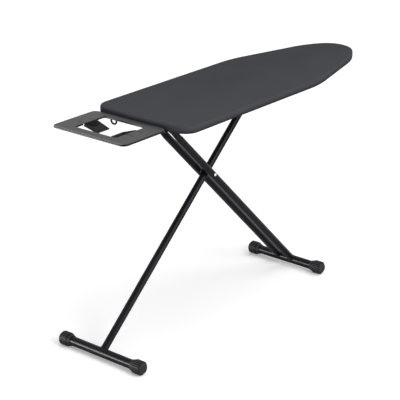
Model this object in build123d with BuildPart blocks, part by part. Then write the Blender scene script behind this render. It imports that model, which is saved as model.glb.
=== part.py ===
"""Folding ironing board: padded top with an iron rest, on a crossed pair of T-legs that slide in a rack.

Millimetres, +Z up, floor at Z = 0. +X runs from the iron rest to the nose, and the near side is -Y.
"""

from build123d import *
import math
import os

os.makedirs("parts", exist_ok=True)

# Overall stance.
table_height = 784.7  # floor to the top of the cover
heel_pivot_in = 89.0  # twin leg's upper pivot, from the heel end
heel_pivot_drop = 30.5  # the same pivot, below the top of the cover
upper_arm = 357.0  # crossing bolt to either upper pivot, equal on both legs
leg_angle = 43.4  # either leg to the rack line
rack_slope = -1.5  # rack line to the floor, falling towards the nose

# Board outline: heel end, parallel sides, taper, shoulder and round nose.
board_half_width = 200.0
heel_bow_r = 1750.0  # radius of the slightly bowed heel end
heel_corner_r = 55.0
side_run = 664.0  # heel end to the start of the taper
taper_bend_r = 442.0
taper_angle = 15.0
taper_run = 232.0
shoulder_r = 322.0
shoulder_angle = 36.5  # slope of the edge where the nose arc starts

# Board layers.
cover_t = 1.2
cover_slack = 0.3
cover_edge_r = 8.0
hem_width = 13.0
pad_t = 7.2
pad_round = 0.9  # largest rounding of the pad's edge, as a share of its thickness
mesh_t = 1.2
rim_height = 12.3
rim_wall = 1.5
rim_lip = 8.0

# Diamond steam vents of the mesh top.
vent_length = 34.0
vent_width = 17.0
vent_pitch_x = 60.0
vent_pitch_y = 44.0
vent_margin = 30.0
vent_land = 12.0  # plain metal kept round what is riveted on

# Tubes.
leg_r = 12.5
leg_wall = 1.5
twin_half_gap = 29.6  # twin tube axes at this distance either side of the middle
foot_bar_r = 16.0
foot_bar_wall = 1.5
single_foot_half = 182.0  # middle to the outer face of the cap
twin_foot_half = 167.6
weld_gap = 0.05

# Flattened tops of the twin tubes.
flat_t = 6.0
flat_w = 20.0
flat_run = 66.0
flat_blend = 52.0

# Foot caps.
cap_r = 23.8  # over the ribs: sets the height of both foot axes
cap_body_r = 21.4
cap_length = 48.0
cap_end_wall = 4.0
cap_collar = 11.0
cap_collar_r = 18.6
cap_neck_r = 20.6
cap_chamfer = 5.0
cap_rib_count = 22
cap_rib_w = 3.2
cap_rib_inset = 2.0
cap_rib_root = 1.0
cap_fit = 0.05

# Pivots and fits.
pivot_r = 4.0
pivot_head_r = 6.5
pivot_head_t = 1.8
bolt_head_r = 5.5
bolt_head_t = 3.2
bolt_round = 0.8  # rounding of the head, as a share of its height
nut_r = 7.0
nut_t = 5.0
run_fit = 0.05
side_fit = 0.3
spacer_r = 9.0

# Heel brackets.
bracket_t = 1.6
ear_t = 2.0
ear_half = 14.0
bracket_half_x = 34.0
bracket_half_y = 15.0

# Rivets.
rivet_r = 2.5
rivet_head_r = 4.5
rivet_head_t = 1.4
rivet_round = 0.7  # rounding of the head, as a share of its height
rivet_edge = 9.0

# Rack channel, slider and height notches.
raise_angle = 8.0  # the tallest setting, beyond the angle modelled
fold_stop = 2.0  # legs stop this short of the rack line
rack_half_gap = 62.0
rack_wall = 1.6
rack_before = 36.0  # channel ahead of the slot at the heel side
rack_past = 22.0  # channel beyond the slot at the nose side
rack_below = 18.0  # wall below the slot's middle line
rack_corner_r = 8.0
rack_window = 110.0
slot_play = 0.6
notch_drop = 3.0
notch_pitch = 22.0
notch_count = 6
rod_half = 73.0
disc_r = 11.0
disc_w = 6.0
leg_past_rod = 14.0
rack_rivet_y = 44.0

# Release lever.
lever_swing = 4.0
lever_t = 3.0
lever_w = 12.0
lever_gap = 2.4  # arm to the channel wall
lever_pivot_in = 14.0  # pivot inside the heel end of the channel
lever_reach = 296.0
lever_play = 0.8
lever_pin_r = 3.0
lever_pin_head_r = 5.0
lever_pin_head_t = 1.5
bail_back = 24.0
bail_up = 22.0
bail_r = 3.0
handle_at = 118.0
handle_r = 4.0
handle_end = 186.0
grip_r = 9.0
grip_length = 92.0
grip_edge_r = 3.5
grip_end_wall = 3.0
spring_wire = 1.5
spring_coil_r = 5.5
spring_turns = 4
spring_pitch = 1.7
spring_overlap = 0.05
spring_leg = 22.0
peg_from_end = 4.4  # peg that the spring bears on, inside the end of its leg
peg_r = 2.0

# Iron rest.
rest_drop = 13.0  # plate below the top of the cover
rest_offset = 28.0  # middle of the plate, towards the far side
rest_length = 203.0
rest_half_width = 156.0
rest_gap = 2.0
rest_t = 1.5
rest_rim = 6.0
rest_corner_r = 22.0
rest_edge_r = 2.2
cut_length = 137.0
cut_half_width = 87.5
cut_from_heel = 30.0
cut_corner_r = 6.0
cut_flange = 4.0
tongue_w = 40.0
tongue_run = 57.0
tongue_drop = 19.0
slit_w = 2.5
slit_run = 31.0
sleeve_t = 1.6
sleeve_fit = 0.1
sleeve_w = 56.4
sleeve_root = 2.0
sleeve_heel = 6.0  # more silicone under the tongue's root
sleeve_edge_r = 1.2
ridge_r = 1.2
ridge_half = 20.0
ridge_run = 26.0

# Straps that carry the iron rest.
strap_w = 20.0
strap_t = 3.0
strap_offset = 137.0  # from the middle of the plate
strap_under_plate = 134.0
strap_clear = 0.6  # below the hem
strap_joggle = 12.0
strap_pass = 34.0
strap_on_mesh = 84.0

# Hanging loop.
loop_wire_r = 2.25
loop_half = 11.5
loop_depth = 26.0  # from the plate's underside to the bottom of the wire
loop_from_heel = 14.0
loop_offset = 62.0  # from the middle of the plate


# Derived places.
deg = math.pi / 180
bend = taper_angle * deg
nose_slope = shoulder_angle * deg
heel_turn = math.degrees(math.asin((board_half_width - heel_corner_r) / (heel_bow_r - heel_corner_r)))
taper_x = side_run + taper_bend_r * math.sin(bend)
taper_y = board_half_width - taper_bend_r * (1 - math.cos(bend))
shoulder_x = taper_x + taper_run * math.cos(bend)
shoulder_y = taper_y - taper_run * math.sin(bend)
nose_x = shoulder_x + shoulder_r * (math.sin(nose_slope) - math.sin(bend))
nose_y = shoulder_y - shoulder_r * (math.cos(bend) - math.cos(nose_slope))
nose_r = nose_y / math.cos(nose_slope)
board_length = nose_x + nose_r * (1 - math.sin(nose_slope))

single_angle = (leg_angle + rack_slope) * deg
twin_angle = (leg_angle - rack_slope) * deg
cross_run = heel_pivot_in + upper_arm * math.cos(twin_angle)
cross_height = table_height - heel_pivot_drop - upper_arm * math.sin(twin_angle)
foot_reach = (cross_height - cap_r) / math.tan(single_angle) - cross_run
foot_spread = (cross_height - cap_r) * (1 / math.tan(single_angle) + 1 / math.tan(twin_angle))
heel_x = (foot_reach + cap_r - board_length) / 2

single_dir = Vector(math.cos(single_angle), 0, math.sin(single_angle))
twin_dir = Vector(-math.cos(twin_angle), 0, math.sin(twin_angle))
single_foot = Vector(heel_x - foot_reach, 0, cap_r)
twin_foot = single_foot + Vector(foot_spread, 0, 0)
cross = Vector(heel_x + cross_run, 0, cross_height)
slider = cross + single_dir * upper_arm
heel_pivot = cross + twin_dir * upper_arm

rack_dir = Vector(math.cos(rack_slope * deg), 0, math.sin(rack_slope * deg))
rack_up = Vector(-rack_dir.Z, 0, rack_dir.X)
slot_near = heel_pivot + rack_dir * (2 * upper_arm * math.cos((leg_angle + raise_angle) * deg))
slot_far = heel_pivot + rack_dir * (2 * upper_arm * math.cos(fold_stop * deg))
rack_near = slot_near - rack_dir * rack_before
rack_far = slot_far + rack_dir * rack_past

pad_top = table_height - cover_t - cover_slack
mesh_top_z = pad_top - pad_t
mesh_under = mesh_top_z - mesh_t
rim_bottom = mesh_under - rim_height
hem_top = rim_bottom - cover_slack
hem_bottom = hem_top - cover_t
skin = cover_t + cover_slack
pad_edge_r = min(cover_edge_r - skin, pad_round * pad_t)

rest_top = table_height - rest_drop
rest_under = rest_top - rest_t
rest_back = heel_x - rest_gap
rest_mid = rest_back - rest_length / 2
cut_mid = heel_x - cut_from_heel - cut_length / 2
tongue_length = math.hypot(tongue_run, tongue_drop)

arm_inner = rack_half_gap + rack_wall + lever_gap
arm_outer = arm_inner + lever_t
lever_pivot = rack_near + rack_dir * lever_pivot_in - rack_up * (pivot_r + lever_play + lever_w / 2)
arm_slope = rack_slope - lever_swing
arm_dir = Vector(math.cos(arm_slope * deg), 0, math.sin(arm_slope * deg))
arm_up = Vector(-arm_dir.Z, 0, arm_dir.X)
bail = lever_pivot + Vector(-bail_back, 0, bail_up)
handle = lever_pivot + arm_dir * handle_at
spring_span = spring_turns * spring_pitch
pin_end = arm_outer + 2 * side_fit + spring_span

bracket_rivets_at = [
    (heel_pivot.X + sx * (bracket_half_x - rivet_edge), sy * twin_half_gap)
    for sx in (-1, 1)
    for sy in (-1, 1)
]
rack_mid_x = (rack_near.X + rack_far.X) / 2
rack_half_x = (rack_far.X - rack_near.X) / 2
rack_rivets_at = [
    (rack_mid_x + sx * (rack_half_x - rivet_edge), sy * rack_rivet_y)
    for sx in (-1, 0, 1)
    for sy in (-1, 1)
]
strap_sides = [rest_offset - strap_offset, rest_offset + strap_offset]
strap_seat = heel_x + strap_pass + strap_joggle
strap_end = strap_seat + strap_on_mesh
strap_rivets_at = [
    (x, y) for y in strap_sides for x in (strap_seat + 2 * rivet_edge, strap_end - rivet_edge)
]
lands = [
    (heel_pivot.X, 0, bracket_half_x, twin_half_gap + bracket_half_y),
    (rack_mid_x, 0, rack_half_x, rack_half_gap + rack_wall),
    ((strap_seat + strap_end) / 2, strap_sides[0], strap_on_mesh / 2, strap_w / 2),
    ((strap_seat + strap_end) / 2, strap_sides[1], strap_on_mesh / 2, strap_w / 2),
]


def half_width(run):
    """Half width of the board at a distance from the heel end, up to the nose."""
    if run < side_run:
        return board_half_width
    if run < shoulder_x:
        return board_half_width - (run - side_run) * (board_half_width - shoulder_y) / (shoulder_x - side_run)
    return shoulder_y * (board_length - run) / (board_length - shoulder_x)


def is_vent(x, y):
    """True where a vent lies inside the board's edge and off the riveted pieces."""
    run = x - heel_x
    edge = min(half_width(run + vent_margin), half_width(run)) - vent_margin
    inside = vent_margin + vent_length / 2 < run < board_length - vent_margin - vent_length
    clear = all(abs(x - cx) > hx + vent_land or abs(y - cy) > hy + vent_land for cx, cy, hx, hy in lands)
    return inside and abs(y) < edge and clear


vent_columns = int(board_length / vent_pitch_x) + 1
vent_rows = int(board_half_width / vent_pitch_y) + 1
vents = []
for column in range(vent_columns):
    for row in range(-vent_rows, vent_rows + 1):
        stagger = (row % 2) * vent_pitch_x / 2
        spot = (heel_x + column * vent_pitch_x + stagger, row * vent_pitch_y)
        if is_vent(*spot):
            vents.append(spot)


def outline(inset=0.0):
    """Draw the board outline in the current sketch, inset all round."""
    with BuildLine() as edge:
        bow = JernArc((heel_x, 0), (0, 1), heel_bow_r, -heel_turn)
        corner = JernArc(bow @ 1, bow % 1, heel_corner_r, heel_turn - 90)
        side = Line(corner @ 1, (heel_x + side_run, board_half_width))
        turn = JernArc(side @ 1, side % 1, taper_bend_r, -taper_angle)
        taper = PolarLine(turn @ 1, taper_run, direction=turn % 1)
        shoulder = JernArc(taper @ 1, taper % 1, shoulder_r, taper_angle - shoulder_angle)
        JernArc(shoulder @ 1, shoulder % 1, nose_r, shoulder_angle - 90)
        mirror(about=Plane.XZ)
    make_face(edge.edges())
    if inset > 0:
        offset(amount=-inset)


def across(y):
    """Plane across the board at a place in Y: local x is +X, local y is +Z, and it faces -Y."""
    return Plane.XZ.offset(-y)


def save(piece, name):
    """Label a finished piece and write it."""
    piece.part.label = name
    export_step(piece.part, f"parts/{name}.step")


# Mesh top: flat sheet with staggered diamond vents and rivet holes.
with BuildPart() as mesh_top:
    with BuildSketch(Plane.XY.offset(mesh_under)):
        outline(skin)
        with Locations(*vents):
            Polygon(
                (vent_length / 2, 0),
                (0, vent_width / 2),
                (-vent_length / 2, 0),
                (0, -vent_width / 2),
                mode=Mode.SUBTRACT,
            )
        with Locations(*bracket_rivets_at, *rack_rivets_at, *strap_rivets_at):
            Circle(rivet_r + run_fit, mode=Mode.SUBTRACT)
    extrude(amount=mesh_t)
save(mesh_top, "mesh_top")

# Rim: an upright wall under the edge of the mesh, with a lip turned in at its foot.
with BuildPart() as rim_frame:
    with BuildSketch(Plane.XY.offset(rim_bottom)):
        outline(skin)
    extrude(amount=rim_height)
    with BuildSketch(Plane.XY.offset(rim_bottom + rim_wall)):
        outline(skin + rim_wall)
    extrude(amount=rim_height, mode=Mode.SUBTRACT)
    with BuildSketch(Plane.XY.offset(rim_bottom)):
        outline(skin + rim_wall + rim_lip)
    extrude(amount=rim_wall, mode=Mode.SUBTRACT)
save(rim_frame, "rim_frame")

# Felt pad with a rounded upper edge.
with BuildPart() as underlay_pad:
    with BuildSketch(Plane.XY.offset(mesh_top_z)):
        outline(skin)
    extrude(amount=pad_t)
    fillet(underlay_pad.edges().group_by(Axis.Z)[-1], pad_edge_r)
save(underlay_pad, "underlay_pad")

# Cover: drawn over the pad and the rim and turned under in a hem.
with BuildPart() as cover_inside:
    with BuildSketch(Plane.XY.offset(hem_top)):
        outline(cover_t)
    extrude(amount=table_height - cover_t - hem_top)
    fillet(cover_inside.edges().group_by(Axis.Z)[-1], cover_edge_r - cover_t)
with BuildPart() as cover:
    with BuildSketch(Plane.XY.offset(hem_bottom)):
        outline()
    extrude(amount=table_height - hem_bottom)
    fillet(cover.edges().group_by(Axis.Z)[-1], cover_edge_r)
    add(cover_inside.part, mode=Mode.SUBTRACT)
    with BuildSketch(Plane.XY.offset(hem_bottom)):
        outline(hem_width)
    extrude(amount=cover_t, mode=Mode.SUBTRACT)
save(cover, "cover")


def rivets(places, grip, name):
    """Rivets set through the mesh and one plate below it, with round heads under the plate."""
    under = mesh_under - grip
    with BuildPart() as group:
        with BuildSketch(Plane.XY.offset(under)):
            with Locations(*places):
                Circle(rivet_r)
        extrude(amount=grip + mesh_t)
        with BuildSketch(Plane.XY.offset(under)):
            with Locations(*places):
                Circle(rivet_head_r)
        extrude(amount=-rivet_head_t)
        fillet(group.edges().group_by(Axis.Z)[0], rivet_round * rivet_head_t)
    save(group, name)


rivets(bracket_rivets_at, bracket_t, "bracket_rivets")
rivets(rack_rivets_at, rack_wall, "rack_rivets")
rivets(strap_rivets_at, strap_t, "strap_rivets")


def heel_bracket(side, name):
    """Riveted plate with two ears that take the flattened top of one twin tube between them."""
    y = side * twin_half_gap
    ear_in = flat_t / 2 + side_fit
    with BuildPart() as bracket:
        with BuildSketch(Plane.XY.offset(mesh_under - bracket_t)):
            with Locations((heel_pivot.X, y)):
                RectangleRounded(2 * bracket_half_x, 2 * bracket_half_y, rivet_edge / 2)
            with Locations(*[spot for spot in bracket_rivets_at if spot[1] * side > 0]):
                Circle(rivet_r + run_fit, mode=Mode.SUBTRACT)
        extrude(amount=bracket_t)
        for face_y in (y - ear_in, y + ear_in + ear_t):
            with BuildSketch(across(face_y)):
                with Locations((heel_pivot.X, heel_pivot.Z)):
                    Circle(ear_half)
                    Rectangle(2 * ear_half, mesh_under - heel_pivot.Z, align=(Align.CENTER, Align.MIN))
                    Circle(pivot_r + run_fit, mode=Mode.SUBTRACT)
            extrude(amount=ear_t)
    save(bracket, name)


def heel_pin(side, name):
    """Shouldered pin through both ears and the flattened tube."""
    y = side * twin_half_gap
    reach = flat_t / 2 + side_fit + ear_t
    with BuildPart() as pin:
        with BuildSketch(across(y)):
            with Locations((heel_pivot.X, heel_pivot.Z)):
                Circle(pivot_r)
        extrude(amount=reach, both=True)
        for end in (-1, 1):
            with BuildSketch(across(y + end * reach)):
                with Locations((heel_pivot.X, heel_pivot.Z)):
                    Circle(pivot_head_r)
            extrude(amount=-end * pivot_head_t)
        ends = pin.edges().filter_by(GeomType.CIRCLE).sort_by(Axis.Y)
        chamfer([ends[0], ends[-1]], pivot_head_t / 3)
    save(pin, name)


for side, place in ((-1, "near"), (1, "far")):
    heel_bracket(side, f"heel_bracket_{place}")
    heel_pin(side, f"heel_pin_{place}")

# Rack channel: a riveted web with two slotted walls, the slot's lower edge notched for the heights.
notches = []
for step in range(notch_count):
    spot = slot_near + rack_dir * (step * notch_pitch) - rack_up * notch_drop
    notches.append((spot.X, spot.Z))
slot_mid = (slot_near + slot_far) * 0.5
wall_foot_near = rack_near - rack_up * rack_below
wall_foot_far = rack_far - rack_up * rack_below
with BuildPart() as rack_channel:
    with BuildSketch(across(-rack_half_gap)):
        with BuildLine():
            Polyline(
                (rack_near.X, mesh_under),
                (rack_far.X, mesh_under),
                (wall_foot_far.X, wall_foot_far.Z),
                (wall_foot_near.X, wall_foot_near.Z),
                close=True,
            )
        wall = make_face()
        fillet(wall.vertices().sort_by(Axis.Y)[:2], rack_corner_r)
        with Locations((slot_mid.X, slot_mid.Z)):
            SlotCenterToCenter(
                (slot_far - slot_near).length,
                2 * (pivot_r + slot_play),
                rotation=rack_slope,
                mode=Mode.SUBTRACT,
            )
        with Locations(*notches):
            Circle(pivot_r + slot_play, mode=Mode.SUBTRACT)
        with Locations((lever_pivot.X, lever_pivot.Z)):
            Circle(lever_pin_r + run_fit, mode=Mode.SUBTRACT)
    extrude(amount=rack_wall)
    mirror(about=Plane.XZ)
    with BuildSketch(Plane.XY.offset(mesh_under - rack_wall)):
        with Locations((rack_mid_x, 0)):
            Rectangle(2 * rack_half_x, 2 * (rack_half_gap + rack_wall))
            with GridLocations(rack_half_x, 0, 2, 1):
                SlotOverall(rack_window, rack_rivet_y, mode=Mode.SUBTRACT)
        with Locations(*rack_rivets_at):
            Circle(rivet_r + run_fit, mode=Mode.SUBTRACT)
    extrude(amount=rack_wall)
save(rack_channel, "rack_channel")


def upright_hole(point, radius, reach):
    """Bore across the legs at one pivot, in the current part."""
    with BuildSketch(Plane.XZ) as bore:
        with Locations((point.X, point.Z)):
            Circle(radius)
    extrude(bore.sketch, amount=reach, both=True, mode=Mode.SUBTRACT)


def twin_leg(side, name):
    """One tube of the twin leg: coped on the foot bar, bored for the bolt, flattened at the heel pivot."""
    y = side * twin_half_gap
    foot = Plane(origin=twin_foot + Vector(0, y, 0), x_dir=(0, 1, 0), z_dir=twin_dir)
    round_run = (heel_pivot - twin_foot).length - flat_run - flat_blend
    with BuildPart() as leg:
        with BuildSketch(foot):
            Circle(leg_r)
        extrude(amount=round_run)
        with BuildSketch(foot.offset(round_run)):
            Circle(leg_r)
        with BuildSketch(foot.offset(round_run + flat_blend)):
            SlotOverall(flat_w, flat_t, rotation=90)
        loft()
        with BuildSketch(Plane(origin=heel_pivot + Vector(0, y, 0), x_dir=twin_dir, z_dir=(0, -1, 0))):
            Rectangle(flat_run, flat_w, align=(Align.MAX, Align.CENTER))
            Circle(flat_w / 2)
            Circle(pivot_r + run_fit, mode=Mode.SUBTRACT)
        extrude(amount=flat_t / 2, both=True)
        with BuildSketch(foot):
            Circle(leg_r - leg_wall)
        extrude(amount=round_run, mode=Mode.SUBTRACT)
        upright_hole(twin_foot, foot_bar_r + weld_gap, twin_foot_half)
        upright_hole(cross, pivot_r + run_fit, twin_foot_half)
    save(leg, name)


twin_leg(-1, "twin_leg_near")
twin_leg(1, "twin_leg_far")

# Single leg: one straight tube from its foot bar to the slider rod, open at the top.
single_run = (slider - single_foot).length + leg_past_rod
with BuildPart() as single_leg:
    with BuildSketch(Plane(origin=single_foot, x_dir=(0, 1, 0), z_dir=single_dir)):
        Circle(leg_r)
        Circle(leg_r - leg_wall, mode=Mode.SUBTRACT)
    extrude(amount=single_run)
    upright_hole(single_foot, foot_bar_r + weld_gap, single_foot_half)
    upright_hole(cross, pivot_r + run_fit, single_foot_half)
    upright_hole(slider, pivot_r + run_fit, single_foot_half)
save(single_leg, "single_leg")


def foot_bar(foot, half, name):
    """Cross tube that a leg stands on, closed at its ends by the caps."""
    with BuildPart() as bar:
        with BuildSketch(Plane.XZ):
            with Locations((foot.X, foot.Z)):
                Circle(foot_bar_r)
                Circle(foot_bar_r - foot_bar_wall, mode=Mode.SUBTRACT)
        extrude(amount=half - cap_end_wall - cap_fit, both=True)
    save(bar, name)


def foot_cap(foot, half, side, name):
    """Moulded cap: coned collar, ribbed barrel with one rib on the floor, chamfered end."""
    inner = foot + Vector(0, side * (half - cap_length), 0)
    bore = foot_bar_r + cap_fit
    floor_of_bore = cap_length - cap_end_wall
    with BuildPart() as cap:
        with BuildSketch(Plane(origin=inner, x_dir=(0, side, 0), z_dir=(side, 0, 0))):
            with BuildLine():
                Polyline(
                    (0, bore),
                    (0, cap_collar_r),
                    (cap_collar, cap_neck_r),
                    (cap_collar, cap_body_r),
                    (cap_length - cap_chamfer, cap_body_r),
                    (cap_length, cap_body_r - cap_chamfer),
                    (cap_length, 0),
                    (floor_of_bore, 0),
                    (floor_of_bore, bore),
                    close=True,
                )
            make_face()
        revolve(axis=Axis(inner, (0, 1, 0)))
        rib_start = inner + Vector(0, side * (cap_collar + cap_rib_inset), 0)
        rib_depth = cap_r - cap_body_r + cap_rib_root
        with BuildSketch(Plane(origin=rib_start, x_dir=(0, 0, -1), z_dir=(0, side, 0))):
            with PolarLocations(cap_r - rib_depth / 2, cap_rib_count):
                Rectangle(rib_depth, cap_rib_w)
        extrude(amount=cap_length - cap_chamfer - cap_collar - 2 * cap_rib_inset)
    save(cap, name)


for foot, half, leg_name in ((single_foot, single_foot_half, "single"), (twin_foot, twin_foot_half, "twin")):
    foot_bar(foot, half, f"{leg_name}_foot_bar")
    foot_cap(foot, half, -1, f"{leg_name}_foot_cap_near")
    foot_cap(foot, half, 1, f"{leg_name}_foot_cap_far")

# Crossing bolt with a domed head on the near side and a hexagon nut on the far side.
bolt_reach = twin_half_gap + leg_r + weld_gap
with BuildPart() as cross_bolt:
    with BuildSketch(across(-bolt_reach)):
        with Locations((cross.X, cross.Z)):
            Circle(bolt_head_r)
    extrude(amount=bolt_head_t)
    fillet(cross_bolt.edges().sort_by(Axis.Y)[0], bolt_round * bolt_head_t)
    with BuildSketch(across(-bolt_reach)):
        with Locations((cross.X, cross.Z)):
            Circle(pivot_r)
    extrude(amount=-(2 * bolt_reach + nut_t))
    with BuildSketch(across(bolt_reach)):
        with Locations((cross.X, cross.Z)):
            RegularPolygon(nut_r, 6)
    extrude(amount=-nut_t)
save(cross_bolt, "cross_bolt")


def ring(point, bore, radius, start, end, name):
    """Plain ring about one pivot, between two places in Y."""
    with BuildPart() as washer:
        with BuildSketch(across(end)):
            with Locations((point.X, point.Z)):
                Circle(radius)
                Circle(bore, mode=Mode.SUBTRACT)
        extrude(amount=end - start)
    save(washer, name)


# Spacers that centre the single leg between the twin tubes, and discs that centre the slider rod.
spacer_in = leg_r + side_fit
spacer_out = twin_half_gap - leg_r - weld_gap
ring(cross, pivot_r + run_fit, spacer_r, -spacer_out, -spacer_in, "pivot_spacer_near")
ring(cross, pivot_r + run_fit, spacer_r, spacer_in, spacer_out, "pivot_spacer_far")
disc_out = rack_half_gap - side_fit
disc_in = disc_out - disc_w
ring(slider, pivot_r + run_fit, disc_r, -disc_out, -disc_in, "slider_disc_near")
ring(slider, pivot_r + run_fit, disc_r, disc_in, disc_out, "slider_disc_far")

# Slider rod through the top of the single leg and both slots.
with BuildPart() as slider_rod:
    with BuildSketch(Plane.XZ):
        with Locations((slider.X, slider.Z)):
            Circle(pivot_r)
    extrude(amount=rod_half, both=True)
    chamfer(slider_rod.edges().filter_by(GeomType.CIRCLE), pivot_r / 5)
save(slider_rod, "slider_rod")

# Release lever: two arms under the rod ends, joined by a bail, with a handle to the far side.
arm_mid = lever_pivot + arm_dir * (lever_reach / 2)
bail_mid = (lever_pivot + bail) * 0.5
bail_angle = math.degrees(math.atan2(bail_up, -bail_back))
peg_drop = spring_wire / 2 + peg_r + weld_gap
peg = lever_pivot + arm_dir * (spring_leg - peg_from_end) + arm_up * (spring_coil_r - peg_drop)
with BuildPart() as release_lever:
    with BuildSketch(across(-arm_inner)):
        with Locations((arm_mid.X, arm_mid.Z)):
            SlotCenterToCenter(lever_reach, lever_w, rotation=arm_slope)
        with Locations((bail_mid.X, bail_mid.Z)):
            SlotCenterToCenter((bail - lever_pivot).length, lever_w, rotation=bail_angle)
        with Locations((lever_pivot.X, lever_pivot.Z)):
            Circle(lever_pin_r + run_fit, mode=Mode.SUBTRACT)
    extrude(amount=lever_t)
    mirror(about=Plane.XZ)
    with BuildSketch(Plane.XZ):
        with Locations((bail.X, bail.Z)):
            Circle(bail_r)
    extrude(amount=arm_inner, both=True)
    with BuildSketch(across(arm_outer)):
        with Locations((handle.X, handle.Z)):
            Circle(handle_r)
    extrude(amount=arm_outer - handle_end)
    with BuildSketch(across(-arm_outer)):
        with Locations((peg.X, peg.Z)):
            Circle(peg_r)
    extrude(amount=spring_span + side_fit)
save(release_lever, "release_lever")

# Grip: a moulded sleeve closed at its outer end.
grip_end = handle_end + grip_end_wall
with BuildPart() as lever_grip:
    with BuildSketch(across(grip_end)):
        with Locations((handle.X, handle.Z)):
            Circle(grip_r)
    extrude(amount=grip_length)
    fillet(lever_grip.edges().filter_by(GeomType.CIRCLE), grip_edge_r)
    with BuildSketch(across(handle_end + run_fit)):
        with Locations((handle.X, handle.Z)):
            Circle(handle_r + run_fit)
    extrude(amount=grip_length, mode=Mode.SUBTRACT)
save(lever_grip, "lever_grip")


def lever_pin(side, name):
    """Headed pin from inside the channel wall through the lever arm."""
    inside = side * rack_half_gap
    outside = side * pin_end
    with BuildPart() as pin:
        with BuildSketch(across(inside)):
            with Locations((lever_pivot.X, lever_pivot.Z)):
                Circle(lever_pin_r)
        extrude(amount=inside - outside)
        for face_y, way in ((inside, 1), (outside, -1)):
            with BuildSketch(across(face_y)):
                with Locations((lever_pivot.X, lever_pivot.Z)):
                    Circle(lever_pin_head_r)
            extrude(amount=way * side * lever_pin_head_t)
    save(pin, name)


lever_pin(-1, "lever_pin_near")
lever_pin(1, "lever_pin_far")

# Return spring: close-wound turns round the near pin, one leg on the lever's peg, one up to the mesh.
spring_start = -(arm_outer + side_fit)
upper_leg_top = mesh_under - side_fit
with BuildPart() as lever_spring:
    with BuildSketch(Plane(origin=lever_pivot, x_dir=(1, 0, 0), z_dir=(0, 0, 1))):
        for turn_index in range(int(spring_turns)):
            with Locations((spring_coil_r, spring_start - spring_pitch * (turn_index + 0.5))):
                Circle(spring_pitch / 2 + spring_overlap)
    revolve(axis=Axis(lever_pivot, (0, 1, 0)))
    leg_start = lever_pivot + arm_up * spring_coil_r + Vector(0, spring_start - spring_pitch / 2, 0)
    with BuildSketch(Plane(origin=leg_start, x_dir=(0, 1, 0), z_dir=arm_dir)):
        Circle(spring_wire / 2)
    extrude(amount=spring_leg)
    rise_y = spring_start - spring_span + spring_pitch / 2
    with BuildSketch(Plane.XY.offset(lever_pivot.Z)):
        with Locations((lever_pivot.X - spring_coil_r, rise_y)):
            Circle(spring_wire / 2)
    extrude(amount=upper_leg_top - lever_pivot.Z)
save(lever_spring, "lever_spring")

# Iron rest: pressed plate with a turned-down rim, a flanged cut-out and two tongues bent down into it.
with BuildPart() as iron_rest_plate:
    with BuildSketch(Plane.XY.offset(rest_top - rest_rim)):
        with Locations((rest_mid, rest_offset)):
            RectangleRounded(rest_length, 2 * rest_half_width, rest_corner_r)
    extrude(amount=rest_rim)
    fillet(iron_rest_plate.edges().group_by(Axis.Z)[-1], rest_edge_r)
    with BuildSketch(Plane.XY.offset(rest_top - rest_rim)):
        with Locations((rest_mid, rest_offset)):
            RectangleRounded(rest_length - 2 * rest_t, 2 * (rest_half_width - rest_t), rest_corner_r - rest_t)
    extrude(amount=rest_rim - rest_t, mode=Mode.SUBTRACT)
    with BuildSketch(Plane.XY.offset(rest_under - cut_flange)):
        with Locations((cut_mid, rest_offset)):
            RectangleRounded(cut_length + 2 * rest_t, 2 * (cut_half_width + rest_t), cut_corner_r + rest_t)
            Rectangle(sleeve_w + slit_w, 2 * (cut_half_width + 2 * rest_t), mode=Mode.SUBTRACT)
    extrude(amount=cut_flange)
    with BuildSketch(Plane.XY.offset(rest_under - cut_flange)):
        with Locations((cut_mid, rest_offset)):
            RectangleRounded(cut_length, 2 * cut_half_width, cut_corner_r)
            with GridLocations(tongue_w + slit_w, 2 * cut_half_width, 2, 2):
                Rectangle(slit_w, 2 * slit_run)
    extrude(amount=cut_flange + rest_t, mode=Mode.SUBTRACT)
    root_y = rest_offset + cut_half_width
    tip_y = root_y - tongue_run
    tip_z = rest_top - tongue_drop
    with BuildSketch(Plane.YZ.offset(cut_mid)):
        Polygon(
            (root_y, rest_top),
            (tip_y, tip_z),
            (tip_y + rest_t * tongue_drop / tongue_length, tip_z - rest_t * tongue_run / tongue_length),
            (root_y, rest_under),
            align=None,
        )
    tongue = extrude(amount=tongue_w / 2, both=True)
    mirror(tongue, about=Plane.XZ.offset(-rest_offset))
save(iron_rest_plate, "iron_rest_plate")


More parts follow.
